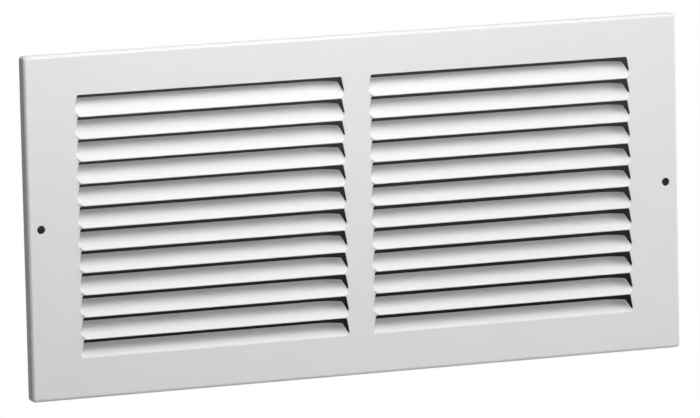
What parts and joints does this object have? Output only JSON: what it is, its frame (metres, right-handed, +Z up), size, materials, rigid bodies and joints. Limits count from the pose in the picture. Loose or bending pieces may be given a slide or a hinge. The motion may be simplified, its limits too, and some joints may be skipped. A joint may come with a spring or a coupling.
{
  "type": "return air grille",
  "caption": "Flat rectangular return air grille in painted sheet steel: columns of tilted louvres, a turned-back rim and screw holes in the side margins, to cover a wall opening.",
  "frame": {"origin": "middle of the flat face on its front surface, half-way between the two screw holes", "axes": "+X along the louvres to the right seen from the front, +Y into the wall, +Z up; the face looks along -Y"},
  "size_m": [0.4, 0.0091, 0.1968],
  "materials": {
    "white_enamel": "semi-gloss white enamel, slightly orange-peeled, over sheet steel"
  },
  "bodies": {
    "root": {"grille_face": "white_enamel"}
  },
  "joints": []
}
